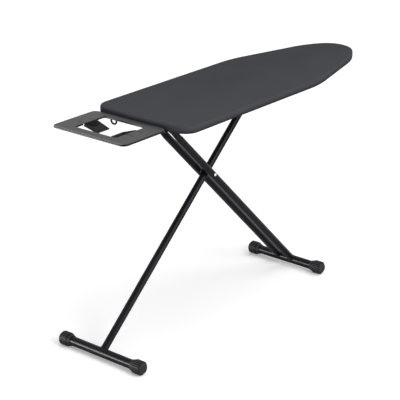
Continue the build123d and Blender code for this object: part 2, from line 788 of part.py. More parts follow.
def rest_sleeve(side, name):
    """Silicone sleeve pushed over one tongue of the iron rest, closed at the tip, with a curved ridge."""
    root = Vector(cut_mid, rest_offset + side * cut_half_width, rest_top)
    along = Vector(0, -side * tongue_run, -tongue_drop).normalized()
    tongue_plane = Plane(origin=root, x_dir=along, z_dir=(-side, 0, 0))
    upper = sleeve_t + sleeve_fit
    lower = -rest_t - upper
    sleeve_tip = tongue_length + upper
    ridge_plane = Plane(origin=root + tongue_plane.y_dir * upper, x_dir=along, z_dir=tongue_plane.y_dir)
    ridge_root = sleeve_root + 2 * ridge_r
    with BuildPart() as sleeve:
        with BuildSketch(tongue_plane):
            Polygon(
                (sleeve_root, upper),
                (sleeve_tip, upper),
                (sleeve_tip, lower),
                (sleeve_root, lower - sleeve_heel),
                align=None,
            )
        extrude(amount=sleeve_w / 2, both=True)
        fillet(sleeve.edges().filter_by(GeomType.LINE), sleeve_edge_r)
        with BuildLine(ridge_plane) as ridge:
            ThreePointArc((ridge_root, -ridge_half), (ridge_root + ridge_run, 0), (ridge_root, ridge_half))
        with BuildSketch(Plane(origin=ridge.line @ 0, z_dir=ridge.line % 0)):
            Circle(ridge_r)
        sweep(path=ridge.line)
        with BuildSketch(tongue_plane):
            with Locations((tongue_length / 2, -rest_t / 2)):
                Rectangle(tongue_length + 2 * sleeve_fit, rest_t + 2 * sleeve_fit)
        extrude(amount=tongue_w / 2 + sleeve_fit, both=True, mode=Mode.SUBTRACT)
    save(sleeve, name)


rest_sleeve(-1, "rest_sleeve_near")
rest_sleeve(1, "rest_sleeve_far")


def rest_strap(y, name):
    """Flat strap under the rest plate, stepped down past the hem and up again under the mesh."""
    low = hem_bottom - strap_clear
    drop_end = rest_back - rest_t - strap_clear
    top_line = [
        (rest_back - strap_under_plate, rest_under),
        (drop_end - strap_joggle, rest_under),
        (drop_end, low),
        (heel_x + strap_pass, low),
        (strap_seat, mesh_under),
        (strap_end, mesh_under),
    ]
    under_line = [(x, z - strap_t) for x, z in reversed(top_line)]
    with BuildPart() as strap:
        with BuildSketch(across(y + strap_w / 2)):
            Polygon(*top_line, *under_line, align=None)
        extrude(amount=strap_w)
        with BuildSketch(Plane.XY.offset(mesh_under - strap_t)):
            with Locations(*[spot for spot in strap_rivets_at if spot[1] == y]):
                Circle(rivet_r + run_fit)
        extrude(amount=strap_t, mode=Mode.SUBTRACT)
    save(strap, name)


rest_strap(strap_sides[0], "rest_strap_near")
rest_strap(strap_sides[1], "rest_strap_far")

# Hanging loop: bent wire under the heel edge of the rest plate.
loop_y = rest_offset + loop_offset
loop_turn_z = rest_under - loop_depth + loop_wire_r + loop_half
with BuildPart() as hang_loop:
    with BuildLine(Plane.YZ.offset(heel_x - loop_from_heel)) as loop_path:
        down = Line((loop_y - loop_half, rest_under), (loop_y - loop_half, loop_turn_z))
        turn = JernArc(down @ 1, down % 1, loop_half, 180)
        Line(turn @ 1, (loop_y + loop_half, rest_under))
    with BuildSketch(Plane(origin=loop_path.line @ 0, x_dir=(1, 0, 0), z_dir=(0, 0, -1))):
        Circle(loop_wire_r)
    sweep()
save(hang_loop, "hang_loop")
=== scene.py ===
# %% [markdown]
# # A folding ironing board
# The solids of the board are already made and packed: legs, rack, lever, iron rest and the flat
# layers of the top. This lesson dresses them. Each step says what a piece is on the real board,
# how it could be made, and why it is made this way here. Everything is in metres, and +X runs
# from the iron rest to the nose.

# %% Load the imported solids
import math

import bmesh
import bpy
from mathutils import Matrix, Vector, noise
from mathutils.kdtree import KDTree


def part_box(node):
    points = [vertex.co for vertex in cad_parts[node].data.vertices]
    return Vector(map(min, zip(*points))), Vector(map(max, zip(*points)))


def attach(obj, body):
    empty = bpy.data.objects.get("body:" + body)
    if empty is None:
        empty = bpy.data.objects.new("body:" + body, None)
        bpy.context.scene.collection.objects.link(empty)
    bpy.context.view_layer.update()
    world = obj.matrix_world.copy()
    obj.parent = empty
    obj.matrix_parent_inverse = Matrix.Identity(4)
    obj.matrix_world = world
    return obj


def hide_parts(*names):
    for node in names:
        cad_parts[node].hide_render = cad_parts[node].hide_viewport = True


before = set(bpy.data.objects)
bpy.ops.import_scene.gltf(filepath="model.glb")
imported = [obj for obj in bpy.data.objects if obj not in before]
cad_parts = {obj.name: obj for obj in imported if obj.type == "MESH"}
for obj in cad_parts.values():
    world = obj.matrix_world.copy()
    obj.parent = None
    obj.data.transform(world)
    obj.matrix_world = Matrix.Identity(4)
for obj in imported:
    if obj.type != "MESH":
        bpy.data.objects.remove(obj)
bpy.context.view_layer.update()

# %% [markdown]
# ## Where the photographer stood
# A long lens far away keeps the legs nearly parallel in the picture. The angle and distance were
# fitted to edges of the tubes and feet, so the camera is set from numbers and not by eye.

# %% Camera
view_turn = math.radians(-50.5)
view_rise = math.radians(21.3)
view_distance = 4.9737
view_aim = Vector((-0.1542, 0.0, 0.4083))
film_width_mm = 36.0
focal_length_mm = 130.7
flat_back = math.cos(view_rise)
view_back = Vector((math.sin(view_turn) * flat_back, -math.cos(view_turn) * flat_back, math.sin(view_rise)))

lens = bpy.data.cameras.new("camera")
lens.sensor_width = film_width_mm
lens.lens = focal_length_mm
camera = bpy.data.objects.new("camera", lens)
camera.location = view_aim + view_back * view_distance
camera.rotation_euler = (-view_back).to_track_quat("-Z", "Y").to_euler()
bpy.context.scene.collection.objects.link(camera)
bpy.context.scene.camera = camera
bpy.context.scene.view_settings.view_transform = "Standard"
print("camera at", [round(x, 3) for x in camera.location])

# %% [markdown]
# ## Small helpers
# A finish is a tree of nodes. These helpers start a finish, add a node whose inputs are filled with
# values or with other nodes' outputs, and give the two things that most finishes here start from: a
# point's place on the object, and noise.


# %% Helpers for finishes
def add_node(tree, kind, inputs=None, **settings):
    """Add a node, set its options, and fill or link its inputs."""
    node = tree.nodes.new(kind)
    for name, value in settings.items():
        setattr(node, name, value)
    for name, value in (inputs or {}).items():
        if isinstance(value, bpy.types.NodeSocket):
            tree.links.new(value, node.inputs[name])
        else:
            node.inputs[name].default_value = value
    return node


def new_finish(name):
    """A new material, with its node tree and its shader."""
    material = bpy.data.materials.new(name)
    material.use_nodes = True
    return material, material.node_tree, material.node_tree.nodes["Principled BSDF"]


def place_on(tree):
    """Where a point lies on the object."""
    return add_node(tree, "ShaderNodeTexCoord").outputs["Object"]


def speckle(tree, place, scale, detail, distortion=0.0):
    """Noise of one size."""
    inputs = {"Vector": place, "Scale": scale, "Detail": detail, "Distortion": distortion}
    return add_node(tree, "ShaderNodeTexNoise", inputs).outputs["Fac"]


print("helpers for finishes are ready")

# %% [markdown]
# ## A pale floor
# The photograph has a plain white ground. The floor is nearly white with a faint cloudiness, and
# the camera sees it a little lighter than it is lit, so only the shadow of the board shows.

# %% Floor
floor_half = 14.0
floor_tones = {"A": (0.93, 0.93, 0.93, 1), "B": (0.95, 0.95, 0.95, 1)}
floor_lift = 0.27


def floor_finish():
    """Plain pale floor with a very faint cloudiness."""
    material, tree, shader = new_finish("studio_floor")
    cloud = speckle(tree, place_on(tree), scale=0.8, detail=2.0)
    tone = add_node(tree, "ShaderNodeMix", {"Factor": cloud, **floor_tones}, data_type="RGBA")
    seen = add_node(tree, "ShaderNodeLightPath").outputs["Is Camera Ray"]
    lift = add_node(tree, "ShaderNodeMapRange", {"Value": seen, "To Max": floor_lift})
    shader.inputs["Roughness"].default_value = 0.9
    shader.inputs["Specular IOR Level"].default_value = 0.0
    shader.inputs["Emission Color"].default_value = (1, 1, 1, 1)
    tree.links.new(tone.outputs["Result"], shader.inputs["Base Color"])
    tree.links.new(lift.outputs["Result"], shader.inputs["Emission Strength"])
    return material


ground = bmesh.new()
bmesh.ops.create_grid(ground, x_segments=1, y_segments=1, size=floor_half)
ground_mesh = bpy.data.meshes.new("floor")
ground.to_mesh(ground_mesh)
ground.free()
ground_mesh.materials.append(floor_finish())
floor = bpy.data.objects.new("floor", ground_mesh)
bpy.context.scene.collection.objects.link(floor)
print("floor is", 2 * floor_half, "m wide")

# %% [markdown]
# ## Soft light
# A big soft lamp stands on the near side: the long side of the top is as light as its face, and the
# heel's side is dark above the iron rest. A wide sun lights the whole floor evenly, the world fills
# the shadows, and two strip lamps draw the thin lights along the tubes. The left strip stays lower
# than the iron rest, which would mirror it otherwise. On a level surface the lamps add up to about
# one, so that colours come out as they are written.

# %% World
room_fill = 0.42
room_seen = 1.0


def reckon(tree, operation, *values):
    """One sum on numbers."""
    node = add_node(tree, "ShaderNodeMath", dict(enumerate(values)), operation=operation)
    return node.outputs["Value"]


room = bpy.data.worlds.new("white_room")
bpy.context.scene.world = room
room.use_nodes = True
room_tree = room.node_tree
rays = add_node(room_tree, "ShaderNodeLightPath").outputs
seen = rays["Is Camera Ray"]
for ray in ("Is Glossy Ray", "Is Transmission Ray"):
    seen = reckon(room_tree, "MAXIMUM", seen, rays[ray])
level = add_node(room_tree, "ShaderNodeMapRange", {"Value": seen, "To Min": room_fill, "To Max": room_seen})
room_tree.nodes["Background"].inputs["Color"].default_value = (1, 1, 1, 1)
room_tree.links.new(level.outputs["Result"], room_tree.nodes["Background"].inputs["Strength"])
print("world:", room_fill, "for the light and", room_seen, "for what is seen")

# %% [markdown]
# A lamp shines along its own -Z, so it is turned by the direction from its place to its aim.


# %% Lamps
def lamp_towards(name, kind, place, aim, power):
    """A lamp of one kind that faces a point."""
    lamp = bpy.data.lights.new(name, kind)
    lamp.energy = power
    holder = bpy.data.objects.new(name, lamp)
    holder.location = place
    holder.rotation_euler = (Vector(aim) - Vector(place)).to_track_quat("-Z", "Y").to_euler()
    bpy.context.scene.collection.objects.link(holder)
    return holder


def strip_light(name, place, aim, length, height, power):
    """A long lamp that only shows as a light along shiny edges."""
    holder = lamp_towards(name, "AREA", place, aim, power)
    holder.data.shape = "RECTANGLE"
    holder.data.size = length
    holder.data.size_y = height
    holder.visible_diffuse = False


ceiling = lamp_towards("ceiling_light", "SUN", place=(0.9, -0.6, 4.0), aim=(0.0, 0.0, 0.5), power=1.4)
ceiling.data.angle = math.radians(60.0)
side_light = lamp_towards("side_light", "AREA", place=(-0.9, -3.0, 2.0), aim=(-0.2, 0.0, 0.7), power=52.0)
side_light.data.size = 1.4
side_light.visible_glossy = False
strip_light(
    "strip_left", place=(-2.8, 1.9, 0.37), aim=(-0.2, 0.0, 0.37), length=2.4, height=0.72, power=285.0
)
strip_light(
    "strip_near", place=(0.0, -3.0, 1.55), aim=(-0.3, 0.0, 0.4), length=0.6, height=2.7, power=85.0
)

# %% [markdown]
# ## The outline of the top
# The board is drawn like a track: a slightly bowed heel, a rounded corner, a straight side, a
# gentle taper, a shoulder and a round nose. A list of points would do, but spinning the last
# vertex about each arc's middle keeps the drawing's own radii, and mirroring gives the far half.
# Each stretch also says how full the cloth is there, from nought to one.

# %% Outline values
edge_step = 0.0036
heel_bow_r = 1.750
heel_corner_r = 0.055
half_width = 0.200
heel_turn = math.degrees(math.asin((half_width - heel_corner_r) / (heel_bow_r - heel_corner_r)))
straight_end = 0.664
taper_r, taper_turn = 0.442, 15.0
taper_run = 0.232
shoulder_r, shoulder_turn = 0.322, 21.5
fullness = {
    "heel": 0.3,
    "corner": 1.0,
    "side": 0.25,
    "bend": 0.5,
    "taper": 0.3,
    "shoulder": 0.7,
    "nose": 1.0,
}
touching = 0.0002
level_slack = 1e-5
cover_low, cover_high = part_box("cover")
print("the heel's bow turns by", round(heel_turn, 3), "degrees")

# %% [markdown]
# A pen walks along the edge. It keeps its last vertex, its heading and how far it has come, and
# every point is noted for the pleats and stitches that come later.

# %% Walk along the edge
edge_points = []


def note_point(pen, gather):
    """Keep the place, run, outward side and fullness of the cloth at this point of the edge."""
    outward = Vector((-pen["heading"].y, pen["heading"].x, 0))
    edge_points.append((pen["tip"].co.copy(), pen["run"], outward, gather))


def along_arc(shape, pen, radius, degrees, gather):
    """Turn right along an arc by spinning the last vertex."""
    inward = Vector((pen["heading"].y, -pen["heading"].x, 0))
    middle = pen["tip"].co + inward * radius
    count = max(3, round(math.radians(degrees) * radius / edge_step))
    part = math.radians(degrees) / count
    for _ in range(count):
        spun = bmesh.ops.spin(
            shape, geom=[pen["tip"]], cent=middle, axis=(0, 0, 1), angle=-part, steps=1, use_duplicate=False
        )
        pen["tip"] = next(v for v in spun["geom_last"] if isinstance(v, bmesh.types.BMVert))
        pen["heading"].rotate(Matrix.Rotation(-part, 3, "Z"))
        pen["run"] += part * radius
        note_point(pen, gather)


def along_line(shape, pen, length, gather):
    """Go straight on by extruding the last vertex."""
    count = max(1, round(length / edge_step))
    for _ in range(count):
        pen["tip"] = bmesh.ops.extrude_vert_indiv(shape, verts=[pen["tip"]])["verts"][0]
        bmesh.ops.translate(shape, verts=[pen["tip"]], vec=pen["heading"] * (length / count))
        pen["run"] += length / count
        note_point(pen, gather)


print("the walk takes steps of about", edge_step * 1000, "mm")

# %% [markdown]
# The walk goes round one half of the top. Mirroring, merging and filling turn it into a face.


# %% Face with the board's outline
def board_face(height, inset=0.0):
    """One flat face with the board's outline, facing up."""
    edge_points.clear()
    shape = bmesh.new()
    start = bmesh.ops.create_vert(shape, co=(cover_low.x, 0, height))["vert"][0]
    pen = {"tip": start, "heading": Vector((0, 1, 0)), "run": 0.0}
    note_point(pen, fullness["heel"])
    along_arc(shape, pen, heel_bow_r, heel_turn, fullness["heel"])
    along_arc(shape, pen, heel_corner_r, 90 - heel_turn, fullness["corner"])
    along_line(shape, pen, cover_low.x + straight_end - pen["tip"].co.x, fullness["side"])
    along_arc(shape, pen, taper_r, taper_turn, fullness["bend"])
    along_line(shape, pen, taper_run, fullness["taper"])
    along_arc(shape, pen, shoulder_r, shoulder_turn, fullness["shoulder"])
    turned = taper_turn + shoulder_turn
    along_arc(shape, pen, pen["tip"].co.y / math.cos(math.radians(turned)), 90 - turned, fullness["nose"])
    pen["tip"].co.y = 0.0
    bmesh.ops.mirror(shape, geom=shape.verts[:] + shape.edges[:], axis="Y", merge_dist=touching)
    bmesh.ops.remove_doubles(shape, verts=shape.verts[:], dist=touching)
    bmesh.ops.contextual_create(shape, geom=shape.edges[:])
    if inset > 0:
        ring = bmesh.ops.inset_region(
            shape, faces=shape.faces[:], thickness=inset, use_even_offset=True, use_boundary=True
        )
        bmesh.ops.delete(shape, geom=ring["faces"], context="FACES")
    shape.faces.ensure_lookup_table()
    shape.normal_update()
    if shape.faces[0].normal.z < 0:
        bmesh.ops.reverse_faces(shape, faces=shape.faces[:])
    return shape


trial = board_face(cover_high.z)
trial_nose = max(v.co.x for v in trial.verts)
print("outline:", len(trial.verts), "points")
print("nose at", round(trial_nose, 4), "and the solid's at", round(cover_high.x, 4))
trial.free()

# %% [markdown]
# Cover and pad are both slabs with this outline, rounded over above and below.


# %% Slabs
def raise_slab(shape, height):
    """Extrude the outline's face upwards into a closed slab."""
    grown = bmesh.ops.extrude_face_region(shape, geom=shape.faces[:], use_keep_orig=True)
    rising = [v for v in grown["geom"] if isinstance(v, bmesh.types.BMVert)]
    bmesh.ops.translate(shape, verts=rising, vec=(0, 0, height))
    bmesh.ops.recalc_face_normals(shape, faces=shape.faces[:])


def round_over(shape, height, radius, segments):
    """Round the slab's edges that lie at one height."""
    corner = [e for e in shape.edges if all(abs(v.co.z - height) < level_slack for v in e.verts)]
    bmesh.ops.bevel(
        shape,
        geom=corner,
        offset=radius,
        offset_type="OFFSET",
        segments=segments,
        profile=0.5,
        affect="EDGES",
        material=-1,
        clamp_overlap=False,
    )


print("cover slab will be", round(cover_high.z - cover_low.z, 4), "m thick")

# %% [markdown]
# ## Tones and marks
# Most finishes run from a dark tone to a light one as a pattern grows, and many have a bump. A mark
# is a number from nought to one that says where another tone is painted over a finish, such as dirt
# in a fold.


# %% Helpers for tones and marks
def parts_of(tree, vector):
    """The X, Y and Z of a vector."""
    return add_node(tree, "ShaderNodeSeparateXYZ", {"Vector": vector}).outputs


def two_tones(tree, value, dark, light, start=0.0, end=1.0):
    """A colour that runs from dark to light as a value grows."""
    ramp = add_node(tree, "ShaderNodeValToRGB", {"Fac": value})
    for element, position, tone in zip(ramp.color_ramp.elements, (start, end), (dark, light)):
        element.position = position
        element.color = (*tone, 1)
    return ramp.outputs["Color"]


def rough_up(tree, shader, height, strength, distance):
    """Give the shader a bump from a pattern."""
    bump = add_node(tree, "ShaderNodeBump", {"Height": height, "Strength": strength, "Distance": distance})
    tree.links.new(bump.outputs["Normal"], shader.inputs["Normal"])


def ramp_mark(tree, value, start, end):
    """A mark that grows from nought to one between two values."""
    node = add_node(tree, "ShaderNodeMapRange", {"Value": value, "From Min": start, "From Max": end})
    return node.outputs["Result"]


def paint_over(material, marks, tone):
    """Mix a tone over the finish where all the marks are one."""
    tree = material.node_tree
    shader = tree.nodes["Principled BSDF"]
    plain = shader.inputs["Base Color"].links[0].from_socket
    share = marks[0]
    for mark in marks[1:]:
        share = reckon(tree, "MULTIPLY", share, mark)
    mixed = add_node(tree, "ShaderNodeMix", {"Factor": share}, data_type="RGBA")
    tree.links.new(plain, mixed.inputs["A"])
    mixed.inputs["B"].default_value = (*tone, 1)
    tree.links.new(mixed.outputs["Result"], shader.inputs["Base Color"])


print("helpers for tones and marks are ready")

# %% [markdown]
# ## Charcoal cloth
# The cover is plain-woven cotton. Its threads are far too fine to model, so they are a bump: the
# product of two sine waves, one along the warp and one along the weft. The pattern follows the
# flat cut of the cloth, kept as a UV map, so that it runs on over the edge without stretching. The
# colour also carries painted light, lighter towards the heel end and the near side, and painted
# shade, darker on the side towards the fold at its foot.

# %% Cloth finish
thread_pitch = 0.0011
thread_share, cloud_share = 0.16, 0.5
cloth_dark, cloth_light = (0.0388, 0.0397, 0.0445), (0.0587, 0.0600, 0.0675)
# Painted light: the cloth is lighter towards the heel end and the near side.
painted_light_share = 0.3
painted_light_runs = (("X", -0.05, -0.50), ("Y", 0.02, -0.20))
# Painted shade: the side is darker towards its foot.
foot_shade_tone = (0.016, 0.0163, 0.0185)
foot_shade_start, foot_shade_end = 0.0010, 0.0225


def cover_cloth():
    """Woven cotton, with painted light towards the heel and the near side and painted shade at the foot of
    its side.
    """
    material, tree, shader = new_finish("charcoal_cloth")
    cut = add_node(tree, "ShaderNodeUVMap", uv_map="cut").outputs["UV"]
    cut_parts = parts_of(tree, cut)
    waves = []
    for axis in ("X", "Y"):
        run = reckon(tree, "MULTIPLY", cut_parts[axis], math.pi / thread_pitch)
        waves.append(reckon(tree, "SINE", run))
    weave = reckon(tree, "MULTIPLY", *waves)
    slub = speckle(tree, cut, scale=420.0, detail=3.0)
    cloud = speckle(tree, cut, scale=7.0, detail=3.0)
    shade = reckon(tree, "MULTIPLY_ADD", weave, thread_share, slub)
    shade = reckon(tree, "MULTIPLY_ADD", cloud, cloud_share, shade)
    # Painted light towards the heel end and the near side.
    for axis, start, end in painted_light_runs:
        painted_light_mark = ramp_mark(tree, cut_parts[axis], start, end)
        shade = reckon(tree, "MULTIPLY_ADD", painted_light_mark, painted_light_share, shade)
    tone = two_tones(tree, shade, cloth_dark, cloth_light, start=0.35, end=0.9583)
    tree.links.new(tone, shader.inputs["Base Color"])
    rough_up(tree, shader, weave, strength=0.35, distance=0.0003)
    shader.inputs["Roughness"].default_value = 0.9
    shader.inputs["Specular IOR Level"].default_value = 0.02
    shader.inputs["Sheen Weight"].default_value = 0.015
    shader.inputs["Sheen Roughness"].default_value = 0.5
    # Painted shade towards the foot of the side.
    height = parts_of(tree, place_on(tree))["Z"]
    foot_shade_mark = ramp_mark(tree, height, cover_low.z + foot_shade_end, cover_low.z + foot_shade_start)
    paint_over(material, [foot_shade_mark, foot_shade_mark], foot_shade_tone)
    return material


charcoal = cover_cloth()
print("cloth threads every", thread_pitch * 1000, "mm")

# %% [markdown]
# ## The cover
# A cover is one flat cut with an elastic hem, pulled over the pad and turned under the rim. It
# lies tight on the straight sides and gathers in small pleats where the outline curves. A slab
# with a rounded upper edge and an open underside gives the drawn-on shape; the pleats are then
# pushed into the side and the hem, more of them round the nose and the heel corners.

# %% Cover: slab, rounded edge and hem
cover_edge_r = 0.008
hem_edge_r = 0.0022
hem_rings = (0.0042, 0.0038, 0.0030, 0.0022)
hem_width = sum(hem_rings)
side_least = 0.006
level_normal = 0.9

cover = board_face(cover_low.z)
raise_slab(cover, cover_high.z - cover_low.z)
round_over(cover, cover_high.z, cover_edge_r, segments=6)
round_over(cover, cover_low.z, hem_edge_r, segments=3)


def is_upright(edge):
    """Whether an edge runs straight down the side."""
    one, other = (v.co for v in edge.verts)
    return abs(one.z - other.z) > side_least and (one.xy - other.xy).length < level_slack


side_edges = [e for e in cover.edges if is_upright(e)]
bmesh.ops.subdivide_edges(cover, edges=side_edges, cuts=3, use_grid_fill=True)
underside = max((f for f in cover.faces if f.normal.z < -level_normal), key=lambda f: f.calc_area())
for width in hem_rings:
    bmesh.ops.inset_region(cover, faces=[underside], thickness=width, use_even_offset=True)
bmesh.ops.delete(cover, geom=[underside], context="FACES_ONLY")
print("cover so far:", len(cover.faces), "faces, hem", round(hem_width + hem_edge_r, 4), "wide")

# %% [markdown]
# The big flat face is cut into a grid. Cutting planes leave clean squares in the middle and
# odd-shaped cells only along the edge, where a ring of quads hides them.

# %% Cover: grid on the flat
grid_pitch = 0.0150
flat_ring = 0.007
flat_top = max((f for f in cover.faces if f.normal.z > level_normal), key=lambda f: f.calc_area())
bmesh.ops.inset_region(cover, faces=[flat_top], thickness=flat_ring, use_even_offset=True)
cells = [flat_top]
for normal, low, high in (
    (Vector((1, 0, 0)), cover_low.x, cover_high.x),
    (Vector((0, 1, 0)), cover_low.y, cover_high.y),
):
    count = int((high - low) / grid_pitch)
    for index in range(1, count):
        plane = normal * (low + (high - low) * index / count)
        parts = set(cells) | {e for f in cells for e in f.edges} | {v for f in cells for v in f.verts}
        cut = bmesh.ops.bisect_plane(cover, geom=list(parts), plane_co=plane, plane_no=normal)
        cells = [f for f in cut["geom"] if isinstance(f, bmesh.types.BMFace)]
print("cells on the flat:", len(cells))

# %% [markdown]
# Every point of the cover now learns where on the edge it belongs. The pleats there have two
# wavelengths, so that they look sewn by hand, and they lie flat where a strap of the iron rest
# passes under the hem.

# %% Cover: where the pleats lie
pleat_waves = ((0.6, 0.0173, 0.0), (0.4, 0.0271, 1.3))
pleat_drift, drift_row = 14.0, 3.1
strap_reach, strap_half, strap_quiet = 0.07, 0.022, 0.15
hem_start = 0.25
near_edge = KDTree(len(edge_points))
for index, (place, run, outward, gather) in enumerate(edge_points):
    near_edge.insert((place.x, place.y, 0), index)
near_edge.balance()
straps = [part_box(name) for name in ("rest_strap_near", "rest_strap_far")]
strap_lines = [(low.y + high.y) / 2 for low, high in straps]


def edge_data(place):
    """Nearest point of the outline, with its run along the edge, outward side and fullness."""
    index = near_edge.find((place.x, abs(place.y), 0))[1]
    point, run, outward, gather = edge_points[index]
    if place.y < 0:
        return Vector((point.x, -point.y, 0)), -run, Vector((outward.x, -outward.y, 0)), gather
    return point, run, outward, gather


def fold_depth(place, run, gather):
    """How deep the pleats are here, from nought to one."""
    wave = sum(share * math.sin(run * 2 * math.pi / length + phase) for share, length, phase in pleat_waves)
    drift = 0.5 + 0.5 * noise.noise(Vector((run * pleat_drift, 0.0, drift_row)))
    by_strap = min(abs(place.y - y) for y in strap_lines) < strap_half
    quiet = strap_quiet if by_strap and place.x < cover_low.x + strap_reach else 1.0
    return gather * quiet * drift * (0.5 + 0.5 * wave)


def hem_share(inside):
    """How much of a pleat's depth the hem has at a distance from its fold."""
    return min(1.0, hem_start + inside / hem_width)


print("outline points to look up:", len(edge_points))

# %% [markdown]
# Each point also learns how far it lies from the flat along the cloth: round the edge, down the
# side and back along the hem. That gives the flat cut, which carries the weave.

# %% Cover: the flat cut and the pleats
side_pleat, hem_pleat, hem_draw = 0.0005, 0.0017, 0.0004
flat_slack = 1e-6
cut_map = cover.loops.layers.uv.new("cut")
flat_place = {}
moves = {}
shoulder_z = cover_high.z - cover_edge_r
for v in cover.verts:
    point, run, outward, gather = edge_data(v.co)
    inside = max(0.0, (point - v.co).dot(outward))
    rolled = min(1.0, max(0.0, (cover_high.z - v.co.z) / cover_edge_r))
    length = cover_edge_r * math.acos(1 - rolled)
    if v.co.z < shoulder_z:
        length += shoulder_z - v.co.z
    if v.co.z < cover_low.z + hem_edge_r:
        length += inside
    on_flat = v.co.z > cover_high.z - flat_slack
    base = Vector((point.x, point.y, 0)) - outward * cover_edge_r
    flat_place[v] = Vector((v.co.x, v.co.y, 0)) if on_flat else base + outward * length
    depth = fold_depth(v.co, run, gather)
    if not on_flat and v.co.z >= cover_low.z + hem_edge_r:
        share = (cover_high.z - v.co.z) / (cover_high.z - cover_low.z)
        moves[v] = -outward * (side_pleat * depth * share * share)
    elif not on_flat:
        sag = hem_pleat * depth * hem_share(inside)
        moves[v] = Vector((0, 0, -sag)) - outward * (hem_draw * depth)
for v, move in moves.items():
    v.co += move
for face in cover.faces:
    for loop in face.loops:
        loop[cut_map].uv = flat_place[loop.vert].xy
pleat_low = min(v.co.z for v in cover.verts)
print("pleats down to", round((cover_low.z - pleat_low) * 1000, 2), "mm below the hem")

# %% [markdown]
# A finished bmesh becomes an object at the origin, with its place in its mesh, and rides on one
# of the moving bodies.


# %% Helper for pieces
def piece_from(shape, name, material, body):
    """Make an object from a bmesh, shade it smooth, and let it ride on a body."""
    mesh = bpy.data.meshes.new(name)
    for face in shape.faces:
        face.smooth = True
    shape.to_mesh(mesh)
    shape.free()
    mesh.materials.append(material)
    piece = bpy.data.objects.new(name, mesh)
    bpy.context.scene.collection.objects.link(piece)
    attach(piece, body)
    print(name, "has", len(mesh.polygons), "faces")
    return piece


# %% [markdown]
# The cloth is about a millimetre thick. A Solidify modifier grows that inwards, so the outside
# stays where it was drawn.

# %% Cover: thickness
cloth_t = 0.0011
cloth_area = sum(f.calc_area() for f in cover.faces)
cloth_cover = piece_from(cover, "cloth_cover", charcoal, "board")
thick = cloth_cover.modifiers.new("thickness", "SOLIDIFY")
thick.thickness = cloth_t
thick.offset = -1.0
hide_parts("cover")
print("area of the cloth", round(cloth_area, 4), "square metres")

# %% [markdown]
# ## Stitches of the hem
# A row of thread holds the elastic in its channel. One stitch is a small ball pulled long; the
# row is made by copying it along the edge, a little inside the turn.

# %% Hem stitches
stitch_pitch = 0.0042
stitch_inset = 0.0085
stitch_size = (0.0015, 0.0004, 0.0004)
stitch_sink = 0.0001


def thread_finish():
    """Twisted grey thread."""
    material, tree, shader = new_finish("hem_thread")
    ply = speckle(tree, place_on(tree), scale=900.0, detail=2.0)
    tone = two_tones(tree, ply, dark=(0.045, 0.047, 0.052), light=(0.12, 0.125, 0.135))
    tree.links.new(tone, shader.inputs["Base Color"])
    rough_up(tree, shader, ply, strength=0.3, distance=0.0001)
    shader.inputs["Roughness"].default_value = 0.7
    return material


one_stitch = bmesh.new()
bmesh.ops.create_uvsphere(one_stitch, u_segments=6, v_segments=4, radius=1.0)
bmesh.ops.scale(one_stitch, verts=one_stitch.verts[:], vec=stitch_size)
stitch_mesh = bpy.data.meshes.new("one_stitch")
one_stitch.to_mesh(stitch_mesh)
one_stitch.free()

stitches = bmesh.new()
half_run = edge_points[-1][1]
stitch_count = int(half_run / stitch_pitch)
for index in range(stitch_count):
    run = (index + 0.5) * half_run / stitch_count
    point, at, outward, gather = min(edge_points, key=lambda noted: abs(noted[1] - run))
    for side in (-1, 1):
        inward = Vector((-outward.x, -outward.y * side, 0))
        place = Vector((point.x, point.y * side, 0)) + inward * stitch_inset
        sag = hem_pleat * fold_depth(place, at * side, gather) * hem_share(stitch_inset)
        turn = Matrix.Rotation(side * (math.atan2(outward.y, outward.x) + math.pi / 2), 4, "Z")
        seat = Matrix.Translation((place.x, place.y, cover_low.z - sag - stitch_sink)) @ turn
        stitch_mesh.transform(seat)
        stitches.from_mesh(stitch_mesh)
        stitch_mesh.transform(seat.inverted())
hem_stitches = piece_from(stitches, "hem_stitches", thread_finish(), "board")
print("stitches:", 2 * stitch_count)

# %% [markdown]
# ## Felt pad
# Under the cloth lies a needled felt about seven millimetres thick. It shows from below through
# the steam vents. The same outline, set in by the cloth, is raised and rounded over.

# %% Felt finish and pad
pad_slack = 0.0014
pad_short = 0.0003
pad_edge_r, pad_foot_r = 0.0063, 0.0006
tuft_share = 0.6


def felt_finish():
    """Pale felt with fibres and small tufts."""
    material, tree, shader = new_finish("needled_felt")
    place = place_on(tree)
    fibre = speckle(tree, place, scale=520.0, detail=5.0, distortion=2.5)
    tuft = add_node(tree, "ShaderNodeTexVoronoi", {"Vector": place, "Scale": 240.0}).outputs["Distance"]
    mixed = reckon(tree, "MULTIPLY_ADD", tuft, tuft_share, fibre)
    tone = two_tones(tree, mixed, dark=(0.46, 0.44, 0.40), light=(0.72, 0.70, 0.66), start=0.35, end=0.95)
    tree.links.new(tone, shader.inputs["Base Color"])
    rough_up(tree, shader, mixed, strength=0.6, distance=0.0008)
    shader.inputs["Roughness"].default_value = 1.0
    shader.inputs["Sheen Weight"].default_value = 0.3
    return material


pad_low, pad_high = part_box("underlay_pad")
pad_top = pad_high.z - pad_short
pad = board_face(pad_low.z, inset=pad_low.x - cover_low.x + pad_slack)
raise_slab(pad, pad_top - pad_low.z)
round_over(pad, pad_top, pad_edge_r, segments=5)
round_over(pad, pad_low.z, pad_foot_r, segments=2)
felt_pad = piece_from(pad, "felt_pad", felt_finish(), "board")
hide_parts("underlay_pad")

# %% [markdown]
# ## Paint, plastic and steel
# The tubes and sheets are satin black powder coat: a very fine orange peel that breaks up the
# light, with patches that are a little glossier. The iron rest has a harder, greyer paint. Caps
# and grip are moulded plastic with a spark-eroded grain, and the bolt and rivets are zinc plated.
# The black finishes reflect a little less green than red and blue.

# %% Finishes for the solids
cool_cast = (0.94, 0.90, 1.0)
grain_share = 0.4
peel_depth = 0.0003


